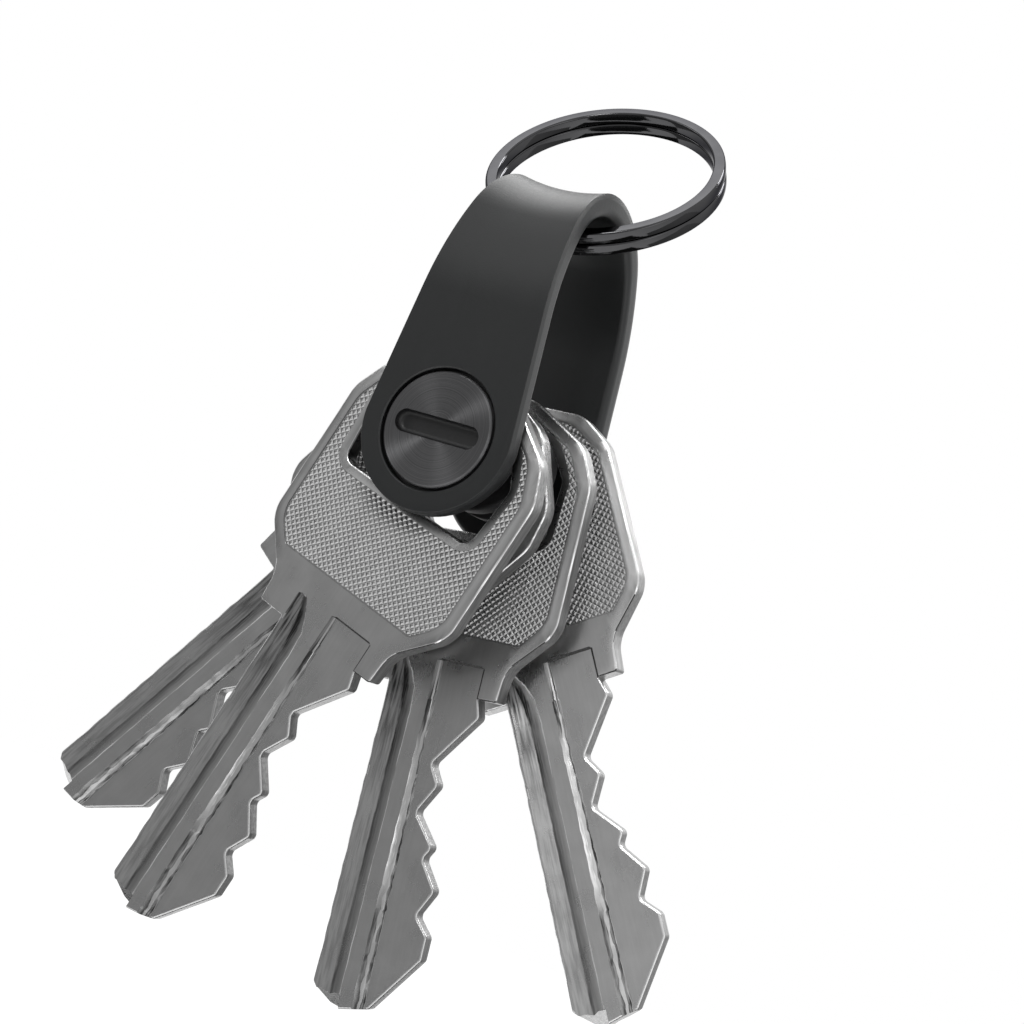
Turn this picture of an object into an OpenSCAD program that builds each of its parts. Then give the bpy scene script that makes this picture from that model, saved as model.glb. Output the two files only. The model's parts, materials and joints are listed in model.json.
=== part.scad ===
// Key organiser: a folded strap closed by a coin-slot screw and its post,
// four keys with spacers that turn on the post, and a split ring in the fold.
// Sizes are in millimetres. +Z runs up the strap, the post lies along Y with
// the screw head at -Y, and the origin is the centre of the split ring.

/* [Strap] */
// Thickness of the strap
strap_t = 2.2; // [1.6:0.1:3]
// Width of the strap across the screw
strap_w = 15.6; // [14:0.1:20]
// Width of the strap at the crest of the fold
fold_w = 10; // [8:0.1:13]
// Height of the fold's crest above the post axis
fold_h = 27; // [25:0.5:36]
// Outer radius of the fold
fold_r = 8.8; // [7.5:0.1:9.2]
// Height above the post axis where the straight legs begin to lean in
leg_h = 12.6; // [8:0.1:14]
// Rounding bevel along the strap's edges
edge_bevel = 0.4; // [0.1:0.05:0.6]

/* [Screw and post] */
// Diameter of the screw head and of the post's flange
head_d = 10.9; // [9:0.1:12]
// Thickness of the screw head and of the post's flange
head_t = 1.2; // [0.8:0.1:1.4]
// Clearance round a head in its recess
head_gap = 0.3; // [0.15:0.05:0.5]
// Bevel on the rim of a head
head_bevel = 0.2; // [0.1:0.05:0.4]
// Width of the coin slot
slot_w = 2.2; // [1:0.1:2.4]
// Length of the coin slot
slot_l = 8.8; // [6:0.1:9]
// Depth of the coin slot
slot_d = 0.75; // [0.4:0.05:0.75]
// Diameter of the post
post_d = 5; // [4.6:0.1:6]
// Diameter of the screw's shank
shank_d = 3; // [2:0.1:3.6]
// Length of the shank below the head
shank_l = 10; // [6:0.5:13]
// Radial clearance of running fits
run_gap = 0.05; // [0.02:0.01:0.1]

/* [Spacers] */
// Outer diameter of a spacer
spacer_d = 11; // [9:0.5:12]
// Thickness of a spacer
spacer_t = 2.1; // [1.5:0.1:2.6]
// Clearance on each side of a key
key_gap = 0.1; // [0.05:0.01:0.2]

/* [Keys] */
// Thickness of a key
key_t = 2.1; // [1.8:0.1:2.6]
// Width of the bow
bow_w = 22.8; // [21:0.1:26]
// Height of the bow's top above the post axis
bow_top = 6.4; // [5.5:0.1:8]
// Width of the flat along the bow's top
crown_w = 6.8; // [5:0.1:9]
// Width of the bow at its upper corners
brow_w = 19.4; // [18:0.1:20.5]
// Drop from the bow's top to its upper corners
brow_drop = 3.8; // [3:0.1:4.5]
// Distance from the post axis down to where the bow is widest
cheek_z = 1; // [0.5:0.1:2]
// Distance from the shoulders up to where the bow narrows
jaw_z = 7.3; // [6.5:0.1:9]
// Rounding of the bow's corners
bow_round = 3; // [2:0.1:3.2]
// Distance from the post axis down to the shoulders
shoulder_z = 22.4; // [21:0.1:26]
// Width across the shoulders
shoulder_w = 14.4; // [13.5:0.1:14.8]
// Width at the top of the neck
neck_w = 14.9; // [14.9:0.1:16]
// Distance from the shoulders up to the top of the neck
neck_z = 3.1; // [2.6:0.1:4]
// Width of the hole in the bow
hole_w = 16.8; // [16:0.1:17.5]
// Width of the hole along its top
hole_top_w = 12.4; // [10:0.1:14]
// Width of the hole along its lower edge
hole_low_w = 15.8; // [14:0.1:16]
// Rounding of the hole's corners
hole_round = 1.2; // [0.6:0.1:1.4]
// Distance from the post axis down to the hole's lower edge
hole_z = 7.25; // [6:0.05:8.5]
// Width of the smooth rim round the knurled field
rim_w = 1.2; // [0.8:0.1:1.6]
// Width of the smooth lip round the hole
lip_w = 0.6; // [0.4:0.1:0.9]
// Depth of the knurled field below the rim
field_d = 0.15; // [0.1:0.05:0.3]
// Distance from the shoulders up to the knurled field
field_z = 5.6; // [5.2:0.1:6]
// Width of the knurled field along its lower edge
field_w = 16.2; // [15:0.1:17]
// Length of the blade below the shoulders
blade_l = 30.6; // [28:0.1:34]
// Distance from the post axis across to the blade's back
blade_back = 4.3; // [4.3:0.1:5]
// Distance from the post axis across to the blade's uncut edge
blade_edge = 5.7; // [5.2:0.1:6.2]
// Bevel along the blade's back
blade_bevel = 0.35; // [0.1:0.05:0.35]
// Step-in of the blade's edge at the shoulders
edge_relief = 0.5; // [0.3:0.1:0.8]
// Height of the blade's pointed tip
tip_h = 1.9; // [1.2:0.1:2.6]
// Distance from the post axis across to the point of the tip, towards the back
tip_x = 1.1; // [0.5:0.1:1.5]
// Step in which the blade's cuts are measured
cut_step = 0.1; // [0.09:0.005:0.11]
// Depth of the grooves and of the milled flat
groove_d = 0.6; // [0.4:0.05:0.7]
// Width of a groove at the face
groove_w = 2.5; // [1.8:0.1:2.6]
// Distance from the post axis across to the front groove, towards the back
groove_x = 2.6; // [2.3:0.1:2.6]
// Distance from the post axis across to the rear groove, towards the back
back_groove_x = 0.6; // [0:0.1:1.2]
// Distance that the front groove runs up above the shoulders
groove_run = 1.5; // [0.8:0.1:2]
// Distance from the post axis across to the milled flat
flat_x = 0.4; // [0.2:0.1:0.8]
// Distance from the milled flat's end to the blade's edge
flat_margin = 0.35; // [0.3:0.05:0.8]
// Distance that the milled flat runs up above the shoulders
flat_run = 3; // [1.5:0.1:3.6]
// Turn of the first key from straight down, towards +X
key_1_turn = -16; // [-60:1:60]
// Turn of the second key from straight down, towards +X
key_2_turn = -34; // [-60:1:60]
// Turn of the third key from straight down, towards +X
key_3_turn = 6; // [-60:1:60]
// Turn of the fourth key from straight down, towards +X
key_4_turn = 34; // [-60:1:60]
// Sideways slip of the second key on the post, as it hangs in its wide hole
key_2_slip = 0.5; // [-1.5:0.1:1.5]
// Sideways slip of the third key on the post
key_3_slip = -0.3; // [-1.5:0.1:1.5]
// Sideways slip of the fourth key on the post
key_4_slip = -0.9; // [-1.5:0.1:1.5]

/* [Ring] */
// Outer diameter of the split ring
ring_d = 23.6; // [22:0.1:28]
// Width of the flat wire, measured along the radius
wire_w = 1.3; // [0.9:0.02:1.4]
// Height of the flat wire
wire_h = 1.2; // [0.7:0.05:1.3]
// Gap between the two turns of the wire
turn_gap = 0.44; // [0.42:0.01:0.5]
// Rounding bevel on the wire's edges
wire_bevel = 0.25; // [0.1:0.05:0.3]
// Part of a turn in which the wire climbs to the second turn, in degrees
climb_a = 44; // [36:1:70]
// Lean of the ring from upright, towards +Y
ring_lean = 39; // [20:1:60]
// Distance from the wire's centre to the inside of the fold
ring_seat = 2.9; // [2.3:0.1:3.2]

/* [Hidden] */
$fn = 96;

// stack of keys and spacers between the strap's legs
keys = 4;
pitch = key_t + spacer_t + 2 * key_gap;
gap_y = keys * key_t + (keys - 1) * spacer_t + 2 * keys * key_gap;
half_in = gap_y / 2;
half_out = half_in + strap_t;
post_r = post_d / 2;
head_r = head_d / 2;
past = 1;

// strap profile: straight legs, a wide arc that leans in, and the fold
fold_z = fold_h - fold_r;
rise = fold_z - leg_h;
lean_r = (half_out * half_out + rise * rise - fold_r * fold_r) / (2 * (half_out - fold_r));
lean_y = lean_r - half_out;
join_a = atan2(rise, lean_y);

// ring: the wire's lowest point lies under the front half of the fold
seat_a = 30;
wire_y = -(fold_r - strap_t - ring_seat) * sin(seat_a);
wire_z = fold_z + (fold_r - strap_t - ring_seat) * cos(seat_a);
wire_r = (ring_d - wire_w) / 2;
ring_c = [0, wire_y + wire_r * sin(ring_lean), wire_z + wire_r * cos(ring_lean)];
layer = wire_h + turn_gap;

// a closed outline with the corner [x, y, radius] rounded
function corner(a, b, c) =
    let (p = [b.x, b.y], u = [a.x - b.x, a.y - b.y], v = [c.x - b.x, c.y - b.y],
         un = u / norm(u), vn = v / norm(v), half = acos(un * vn) / 2,
         mid = p + (un + vn) / norm(un + vn) * b.z / sin(half),
         first = p + un * b.z / tan(half) - mid, last = p + vn * b.z / tan(half) - mid,
         start = atan2(first.y, first.x),
         turn = (atan2(last.y, last.x) - start + 540) % 360 - 180)
    [for (k = [0 : 6]) mid + b.z * [cos(start + turn * k / 6), sin(start + turn * k / 6)]];

function rounded(pts) =
    let (n = len(pts))
    [for (i = [0 : n - 1])
        each pts[i].z > 0 ? corner(pts[(i + n - 1) % n], pts[i], pts[(i + 1) % n])
                          : [[pts[i].x, pts[i].y]]];

function mirrored(half) =
    concat(half, [for (i = [len(half) - 1 : -1 : 0]) [-half[i].x, half[i].y, half[i].z]]);

module in_frame() {
    translate(-ring_c) children();
}

module along_y(from, to) {
    translate([0, to, 0]) rotate([90, 0, 0]) linear_extrude(to - from) children();
}

module disc_y(r, from, to) {
    translate([0, to, 0]) rotate([90, 0, 0]) cylinder(r = r, h = to - from);
}

// strap path from the front leg's end over the fold to the rear leg's end:
// [outer face y, z, turn of the inward normal], first for the part above the post axis
lean_steps = 6;
fold_steps = 16;
end_steps = 12;
rise_path = concat([[-half_out, 0, 0]],
    [for (k = [0 : lean_steps - 1]) let (a = join_a * k / lean_steps)
        [lean_y - lean_r * cos(a), leg_h + lean_r * sin(a), a]],
    [for (k = [0 : fold_steps]) let (a = join_a + (180 - 2 * join_a) * k / fold_steps)
        [-fold_r * cos(a), fold_z + fold_r * sin(a), a]],
    [for (k = [lean_steps - 1 : -1 : 0]) let (a = join_a * k / lean_steps)
        [lean_r * cos(a) - lean_y, leg_h + lean_r * sin(a), 180 - a]],
    [[half_out, 0, 180]]);
rises = len(rise_path);
stations = rises + 2 * end_steps;

// the strap's skin in section: [depth below the outer face, inset from the edge]
skin = let (b = edge_bevel)
    [[0, b], [0.3 * b, 0.3 * b], [b, 0], [strap_t - b, 0], [strap_t - 0.3 * b, 0.3 * b], [strap_t, b]];
edge_slope = (strap_w - fold_w) / 2 / fold_h;

// point of station i on level k, on the side with sign sx
function end_point(a, k, sx, leg) =
    let (r = strap_w / 2 - skin[k].y)
    [sx * r * cos(a), leg * (half_out - skin[k].x), -r * sin(a)];
function rise_point(p, k, sx) =
    [sx * (strap_w / 2 - skin[k].y - edge_slope * p.y),
     p.x + skin[k].x * cos(p.z), p.y - skin[k].x * sin(p.z)];
function strap_point(i, k, sx) =
    i < end_steps ? end_point(90 - 90 * i / end_steps, k, sx, -1)
    : i < end_steps + rises ? rise_point(rise_path[i - end_steps], k, sx)
    : end_point(90 * (i - end_steps - rises + 1) / end_steps, k, sx, 1);

// each level is a loop: up the +X edge and back down the -X edge
loop_n = 2 * (stations - 1);
function loop_point(j, k) =
    j < stations ? strap_point(j, k, 1) : strap_point(loop_n - j, k, -1);
strap_points = [for (k = [0 : len(skin) - 1]) for (j = [0 : loop_n - 1]) loop_point(j, k)];
function cap(base, flip) =
    [for (i = [0 : stations - 2])
        let (r0 = base + i, r1 = base + i + 1, l0 = base + (loop_n - i) % loop_n, l1 = base + loop_n - i - 1)
        each [for (t = i == 0 ? [[r0, r1, l1]]
                       : i == stations - 2 ? [[r0, r1, l0]] : [[r0, r1, l1], [r0, l1, l0]])
            flip ? [t[2], t[1], t[0]] : t]];
strap_faces = concat(
    cap(0, true),
    [for (k = [0 : len(skin) - 2]) for (j = [0 : loop_n - 1])
        let (a = k * loop_n + j, b = k * loop_n + (j + 1) % loop_n)
        each [[a, b, b + loop_n], [a, b + loop_n, a + loop_n]]],
    cap((len(skin) - 1) * loop_n, false));

module strap() {
    color("dimgray") in_frame() difference() {
        polyhedron(strap_points, strap_faces, convexity = 6);
        disc_y(post_r + run_gap, -half_out - past, half_out + past);
        disc_y(head_r + head_gap, -half_out - past, -half_out + head_t);
        disc_y(head_r + head_gap, half_out - head_t, half_out + past);
    }
}

// a head in section: the face at 0, the rim bevelled, the underside at head_t
module head() {
    rotate_extrude() polygon([[0, 0], [head_r - head_bevel, 0], [head_r, head_bevel],
        [head_r, head_t - run_gap], [0, head_t - run_gap]]);
}

module front_screw() {
    color("black") in_frame() difference() {
        union() {
            translate([0, -half_out, 0]) rotate([-90, 0, 0]) head();
            disc_y(shank_d / 2, -half_out + head_t - past / 2, -half_out + head_t + shank_l);
        }
        along_y(-half_out - past, -half_out + slot_d) {
            square([slot_l - slot_w, slot_w], center = true);
            translate([(slot_l - slot_w) / 2, 0]) circle(slot_w / 2);
            translate([-(slot_l - slot_w) / 2, 0]) circle(slot_w / 2);
        }
    }
}

module barrel_post() {
    color("black") in_frame() difference() {
        union() {
            translate([0, half_out, 0]) rotate([90, 0, 0]) head();
            disc_y(post_r, -half_out + head_t + run_gap, half_out - head_t + past / 2);
        }
        disc_y(shank_d / 2 + run_gap, -half_out, -half_out + head_t + shank_l + past);
    }
}

// spacer number i lies behind key number i
module spacer(i) {
    y = -half_in + key_gap + key_t + key_gap + (i - 1) * pitch;
    color("gray") in_frame() difference() {
        disc_y(spacer_d / 2, y, y + spacer_t);
        disc_y(post_r + run_gap, y - past, y + spacer_t + past);
    }
}

module spacer_1() {
    spacer(1);
}

module spacer_2() {
    spacer(2);
}

module spacer_3() {
    spacer(3);
}

// right half of the bow's outline, cut back by d
function bow_side(d) = [
    [(crown_w - d) / 2, bow_top - d, bow_round],
    [brow_w / 2 - d, bow_top - brow_drop - d / 2, bow_round],
    [bow_w / 2 - d, -cheek_z - d / 2, bow_round],
    [bow_w / 2 - d, jaw_z - shoulder_z + d / 2, bow_round]];
neck_top = [neck_w / 2, neck_z - shoulder_z, bow_round];
hole_top = post_r + run_gap;

// right half of the hole's outline, opened out by d
function hole_side(d) = [
    [hole_top_w / 2 + d, hole_top + d, hole_round + d], [hole_w / 2 + d, d / 3 - cheek_z, hole_round + d],
    [hole_low_w / 2 + d, -hole_z - d, hole_round + d]];

// cuts along the blade's edge, in steps: [distance below the shoulders, depth]
cuts = [[18, 0], [67, 37], [86, 25], [114, 41], [142, 16], [154, 23], [180, 3], [205, 16], [221, 0],
        [243, 0]] * cut_step;

module blade_outline() {
    tip = -shoulder_z - blade_l;
    polygon(concat(
        [[-blade_back, -shoulder_z + past], [-blade_back, tip + tip_h], [-groove_x, tip + 0.75 * tip_h],
         [-tip_x, tip], [tip_x + edge_relief, tip + 0.4 * tip_h]],
        [for (i = [len(cuts) - 1 : -1 : 0]) [blade_edge - cuts[i].y, -shoulder_z - cuts[i].x]],
        [[blade_edge - edge_relief, -shoulder_z], [blade_edge - edge_relief, -shoulder_z + past]]));
}

// the blade in section, with the front face at 0
module blade_section() {
    half = groove_w / 2;
    polygon([
        [-blade_back, blade_bevel], [blade_bevel - blade_back, 0],
        [-groove_x - half, 0], [-groove_x, groove_d], [half - groove_x, 0],
        [flat_x, 0], [flat_x + groove_d, groove_d], [blade_edge + past, groove_d],
        [blade_edge + past, key_t],
        [half - back_groove_x, key_t], [-back_groove_x, key_t - groove_d], [-back_groove_x - half, key_t],
        [blade_bevel - blade_back, key_t], [-blade_back, key_t - blade_bevel]]);
}

// one key, front face at y = 0, post axis through its origin, blade down
module key() {
    difference() {
        union() {
            along_y(0, key_t) polygon(rounded(mirrored(concat(bow_side(0), [neck_top],
                [[shoulder_w / 2, -shoulder_z, 0]]))));
            intersection() {
                translate([0, 0, -shoulder_z - 2 * blade_l]) linear_extrude(2 * blade_l + past)
                    blade_section();
                along_y(-past, key_t + past) blade_outline();
            }
        }
        along_y(-past, key_t + past) polygon(rounded(mirrored(hole_side(0))));
        for (y = [[-past, field_d], [key_t - field_d, key_t + past]])
            along_y(y[0], y[1]) difference() {
                polygon(rounded(mirrored(concat(bow_side(rim_w),
                    [[field_w / 2, field_z - shoulder_z, lip_w]]))));
                polygon(rounded(mirrored(hole_side(lip_w))));
            }
        // the front groove and the milled flat run up into the neck
        translate([0, 0, -shoulder_z]) linear_extrude(groove_run)
            polygon([[-groove_x - groove_w / 2, 0], [-groove_x, groove_d], [groove_w / 2 - groove_x, 0],
                [-groove_x, -past]]);
        translate([-groove_x, groove_d, groove_run - shoulder_z]) rotate([90, 0, 0])
            cylinder(r1 = 0, r2 = groove_w / 2, h = groove_d);
        translate([0, 0, -shoulder_z]) linear_extrude(flat_run)
            polygon([[flat_x, 0], [flat_x + groove_d, groove_d], [blade_edge - flat_margin, groove_d],
                [blade_edge - flat_margin, -past], [flat_x, -past]]);
    }
}

module placed_key(i, turn, slip) {
    in_frame() translate([0, -half_in + key_gap + (i - 1) * pitch, 0]) rotate([0, -turn, 0])
        translate([slip, 0, 0]) key();
}

module key_1() {
    color("silver") placed_key(1, key_1_turn, 0);
}

module key_2() {
    color("lightgray") placed_key(2, key_2_turn, key_2_slip);
}

module key_3() {
    color("silver") placed_key(3, key_3_turn, key_3_slip);
}

module key_4() {
    color("lightgray") placed_key(4, key_4_turn, key_4_slip);
}

// split ring: one flat wire, two turns, with a climb between them
turn_steps = 60;
ring_start = -68;
ring_end_a = 720 - climb_a;
function ease(t) = t <= 0 ? 0 : t >= 1 ? 1 : t * t * (3 - 2 * t);
function wire_level(a) = layer * (ease((a - 360 + climb_a) / climb_a) - 0.5);
function wire_at(a, r, h) = [r * cos(a + ring_start), r * sin(a + ring_start), wire_level(a) + h];
wire_section = let (w = wire_w / 2, h = wire_h / 2, b = wire_bevel)
    [[-w, b - h], [b - w, -h], [w - b, -h], [w, b - h], [w, h - b], [w - b, h], [b - w, h], [-w, h - b]];
wire_steps = round(turn_steps * ring_end_a / 360);
wire_points = [for (s = [0 : wire_steps]) let (a = ring_end_a * s / wire_steps)
    for (p = wire_section) wire_at(a, wire_r + p.x, p.y)];
wire_faces = let (n = len(wire_section)) concat(
    [for (k = [1 : n - 2]) [0, k + 1, k]],
    [for (s = [0 : wire_steps - 1]) for (k = [0 : n - 1])
        let (a = s * n + k, b = s * n + (k + 1) % n)
        each [[a, b, b + n], [a, b + n, a + n]]],
    [for (k = [1 : n - 2]) [wire_steps * n, wire_steps * n + k, wire_steps * n + k + 1]]);

// least gap between the wire and itself, over points more than a third of a turn apart
function spread(a, b) = min([for (p = wire_section) for (q = wire_section)
    norm(wire_at(a, wire_r + p.x, p.y) - wire_at(b, wire_r + q.x, q.y))]);
echo(least_wire_gap = min([for (a = [0 : 6 : ring_end_a - 330])
    for (b = [a + 330 : 6 : min(a + 390, ring_end_a)]) spread(a, b)]));

module split_ring() {
    color("darkslategray") rotate([-ring_lean, 0, 0]) rotate([90, 0, 0])
        polyhedron(wire_points, wire_faces, convexity = 6);
}

strap();
front_screw();
barrel_post();
spacer_1();
spacer_2();
spacer_3();
key_1();
key_2();
key_3();
key_4();
split_ring();
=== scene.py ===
import bpy
import bmesh
import json
import math
import random
from mathutils import Matrix, Vector


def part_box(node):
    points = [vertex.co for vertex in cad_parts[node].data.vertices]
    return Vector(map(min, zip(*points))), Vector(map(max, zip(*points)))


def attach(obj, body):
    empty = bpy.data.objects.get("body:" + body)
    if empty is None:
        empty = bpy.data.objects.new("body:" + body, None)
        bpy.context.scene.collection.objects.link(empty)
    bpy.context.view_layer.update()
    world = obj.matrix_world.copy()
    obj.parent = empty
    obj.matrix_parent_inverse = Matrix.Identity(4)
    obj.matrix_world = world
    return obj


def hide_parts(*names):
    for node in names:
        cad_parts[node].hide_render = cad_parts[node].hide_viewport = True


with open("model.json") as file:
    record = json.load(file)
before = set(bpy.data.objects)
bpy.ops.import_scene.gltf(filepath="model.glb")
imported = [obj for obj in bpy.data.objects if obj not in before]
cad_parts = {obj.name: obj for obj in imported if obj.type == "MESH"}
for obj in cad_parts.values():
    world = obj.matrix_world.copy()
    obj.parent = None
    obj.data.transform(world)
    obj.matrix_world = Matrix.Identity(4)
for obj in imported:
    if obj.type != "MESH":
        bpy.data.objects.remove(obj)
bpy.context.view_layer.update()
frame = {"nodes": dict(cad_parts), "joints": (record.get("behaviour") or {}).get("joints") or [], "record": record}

# shapes are modelled in millimetres about the post, then set down in the row frame in metres
mm = 0.001
tiny = 1e-6    # nearer to an axis than this is on it
proud = 1.0    # how far a cutting tool stands past what it cuts
steep = 0.3    # a face of a key whose normal has less y than this is a wall
hinges = {j["name"]: j for j in frame["joints"]}
mounts = {m["name"]: m for m in frame["record"]["mounts"]}
postAt = Vector(hinges["screw_turn"]["pos_m"])
ringAxis = Vector(mounts["ring_eye"]["axis"])
toRow = Matrix.Translation(postAt) @ Matrix.Scale(mm, 4)
onEdge = Matrix.Rotation(math.radians(90), 4, "X")   # stands a flat shape upright
print("frame loaded:", len(frame["nodes"]), "nodes")


def nodeBox(node):   # a node's box in millimetres about the post
    low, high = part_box(node)
    return (low - postAt) / mm, (high - postAt) / mm


def clamp(value):
    return min(max(value, 0), 1)


# mesh helpers
def makeObject(name, bm):
    mesh = bpy.data.meshes.new(name)
    bm.to_mesh(mesh)
    bm.free()
    piece = bpy.data.objects.new(name, mesh)
    bpy.context.scene.collection.objects.link(piece)
    return piece


def closeUp(bm, dist=0.001):
    bmesh.ops.remove_doubles(bm, verts=bm.verts[:], dist=dist)
    bmesh.ops.dissolve_degenerate(bm, edges=bm.edges[:], dist=dist)
    loose = [e for e in bm.edges if not e.link_faces]
    bmesh.ops.delete(bm, geom=loose, context="EDGES")
    bmesh.ops.recalc_face_normals(bm, faces=bm.faces[:])


def carve(piece, tool, operation):   # boolean, applied at once, and the tool is thrown away
    cut = piece.modifiers.new("carve", "BOOLEAN")
    cut.object = tool
    cut.operation = operation
    cut.solver = "MANIFOLD"
    bpy.context.view_layer.update()
    graph = bpy.context.evaluated_depsgraph_get()
    mesh = bpy.data.meshes.new_from_object(piece.evaluated_get(graph))
    piece.modifiers.remove(cut)
    old = piece.data
    piece.data = mesh
    bpy.data.meshes.remove(old)
    bpy.data.objects.remove(tool)


def vertsOf(geom):
    return [g for g in geom if isinstance(g, bmesh.types.BMVert)]


def openEdges(bm):
    return [e for e in bm.edges if e.is_boundary]


def shift(bm, vec):
    bmesh.ops.translate(bm, verts=bm.verts[:], vec=vec)


def rotate(bm, degrees, axis):
    turn = Matrix.Rotation(math.radians(degrees), 3, axis)
    bmesh.ops.rotate(bm, verts=bm.verts[:], cent=(0, 0, 0), matrix=turn)


def bevel(bm, geom, offset, segments, affect="EDGES", clamped=False):
    bmesh.ops.bevel(bm, geom=geom, offset=offset, offset_type="OFFSET", segments=segments, profile=0.5,
                    affect=affect, material=-1, clamp_overlap=clamped)


def sweep(bm, geom, axis, angle, steps, centre=(0, 0, 0), climb=(0, 0, 0), full=False):
    return bmesh.ops.spin(bm, geom=geom, cent=centre, axis=axis, dvec=climb, angle=angle, steps=steps,
                          use_merge=full, use_normal_flip=False, use_duplicate=False)["geom_last"]


# corners are (across, up, rounding), and flat makes a point of the first two
def roundedFace(bm, corners, flat):
    loop = [bm.verts.new(flat(across, up)) for across, up, rounding in corners]
    bm.faces.new(loop)
    for vert, (across, up, rounding) in zip(loop, corners):
        if rounding:
            arms = [e.other_vert(vert).co - vert.co for e in vert.link_edges]
            reach = rounding / math.tan(arms[0].angle(arms[1]) / 2)
            bevel(bm, [vert], reach, 6, affect="VERTICES")


def openSection(corners):   # a (radius, y) outline without its edge on the axis
    bm = bmesh.new()
    roundedFace(bm, corners, lambda r, y: Vector((r, y, 0)))
    bmesh.ops.delete(bm, geom=bm.faces[:], context="FACES_ONLY")
    onAxis = [e for e in bm.edges if all(abs(v.co.x) < tiny for v in e.verts)]
    bmesh.ops.delete(bm, geom=onAxis, context="EDGES")
    return bm


def lathe(corners, steps=128):   # spins a section about the post's axis
    bm = openSection(corners)
    sweep(bm, bm.verts[:] + bm.edges[:], (0, 1, 0), math.tau, steps, full=True)
    closeUp(bm)
    return bm


def settle(piece, material, body, node, place=toRow, angle=32):
    piece.data.transform(place)
    piece.data.materials.clear()
    piece.data.materials.append(material)
    piece.data.shade_smooth()
    piece.data.set_sharp_from_angle(angle=math.radians(angle))
    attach(piece, body)
    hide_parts(node)
    print("piece", piece.name, "with", len(piece.data.polygons), "faces rides on", body)


def evenNormals(piece):
    even = piece.modifiers.new("evenNormals", "WEIGHTED_NORMAL")
    even.keep_sharp = True


# node helpers for materials: an input is linked to a (node, output) pair or set to a value
def feed(tree, node, inputs):
    for key, value in inputs.items():
        if isinstance(value, tuple) and isinstance(value[0], bpy.types.Node):
            tree.links.new(value[0].outputs[value[1]], node.inputs[key])
        else:
            node.inputs[key].default_value = value


def addNode(tree, kind, inputs, **settings):
    node = tree.nodes.new(kind)
    for key, value in settings.items():
        setattr(node, key, value)
    feed(tree, node, inputs)
    return node


def addMath(tree, operation, *inputs):
    return addNode(tree, "ShaderNodeMath", dict(enumerate(inputs)), operation=operation), "Value"


def addNoise(tree, place, scale, detail, roughness=0.5):
    return addNode(tree, "ShaderNodeTexNoise", {"Vector": place, "Scale": scale, "Detail": detail,
                                                "Roughness": roughness}), "Fac"


def spread(tree, value, span, reach=(0.3, 0.7)):   # maps a value's reach to the span
    ends = dict(zip(("From Min", "From Max", "To Min", "To Max"), (*reach, *span)))
    return addNode(tree, "ShaderNodeMapRange", {"Value": value, **ends}), "Result"


def mixColour(tree, value, low, high):   # a colour from low to high as the value goes from 0 to 1
    ramp = addNode(tree, "ShaderNodeValToRGB", {"Fac": value})
    ramp.color_ramp.elements[0].color = (*low, 1)
    ramp.color_ramp.elements[1].color = (*high, 1)
    return ramp, "Color"


def makeGroup(name, inputs, outputs):   # inputs have defaults, and every output is a value
    group = bpy.data.node_groups.new(name, "ShaderNodeTree")
    for label, default in inputs.items():
        kind = "NodeSocketVector" if isinstance(default, tuple) else "NodeSocketFloat"
        made = group.interface.new_socket(name=label, in_out="INPUT", socket_type=kind)
        made.default_value = default
    for label in outputs:
        group.interface.new_socket(name=label, in_out="OUTPUT", socket_type="NodeSocketFloat")
    return group, group.nodes.new("NodeGroupInput"), group.nodes.new("NodeGroupOutput")


# grain: a coarse and a fine noise over a place, each a value round a half
def makeGrain():
    sizes = {"Place": (0, 0, 0), "Coarse": 400.0, "Fine": 6000.0}
    group, enter, leave = makeGroup("surfaceGrain", sizes, ["Clouds", "Grain"])
    place = (enter, "Place")
    feed(group, leave, {"Clouds": addNoise(group, place, (enter, "Coarse"), 3.0, 0.55),
                        "Grain": addNoise(group, place, (enter, "Fine"), 2.0, 0.6)})
    return group


# rubs: long thin streaks along one axis of a place, in patches as a mask and everywhere as lines
def makeRubs():
    group, enter, leave = makeGroup("rubMarks", {"Place": (0, 0, 0), "Stretch": (9000.0, 9000.0, 250.0),
                                                 "Amount": 0.35}, ["Mask", "Lines"])
    place = (enter, "Place")
    stretched = {0: place, 1: (enter, "Stretch")}
    pull = addNode(group, "ShaderNodeVectorMath", stretched, operation="MULTIPLY")
    lines = addNoise(group, (pull, "Vector"), 1.0, 3.0, 0.6)
    pick = spread(group, lines, (0.0, 1.0), (0.52, 0.74))
    where = spread(group, addNoise(group, place, 260.0, 2.0), (0.0, 1.0), (0.4, 0.7))
    both = addMath(group, "MULTIPLY", pick, where)
    feed(group, leave, {"Mask": addMath(group, "MULTIPLY", both, (enter, "Amount")), "Lines": lines})
    return group


grainGroup = makeGrain()
rubGroup = makeRubs()


def addGrain(tree, place, look):
    return addNode(tree, "ShaderNodeGroup", {"Place": place, "Coarse": look["clouds"],
                                             "Fine": look["grain"]}, node_tree=grainGroup)


def addRubs(tree, place, look):
    return addNode(tree, "ShaderNodeGroup", {"Place": place, "Stretch": look["rubStretch"],
                                             "Amount": look["rubs"]}, node_tree=rubGroup)


def addBump(tree, height, strength, distance):
    return addNode(tree, "ShaderNodeBump", {"Strength": strength, "Distance": distance,
                                            "Height": height}), "Normal"


def newMaterial(name):
    material = bpy.data.materials.new(name)
    material.use_nodes = True
    tree = material.node_tree
    skin = next(n for n in tree.nodes if n.type == "BSDF_PRINCIPLED")
    return material, tree, skin


# what the grainy finishes share unless they say otherwise
plainLook = {"metal": 0.0, "gloss": 0.4, "edge": (1, 1, 1), "roughBy": "Grain",
             "roughReach": (0.3, 0.7), "bumpStrength": 0.6}
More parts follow.
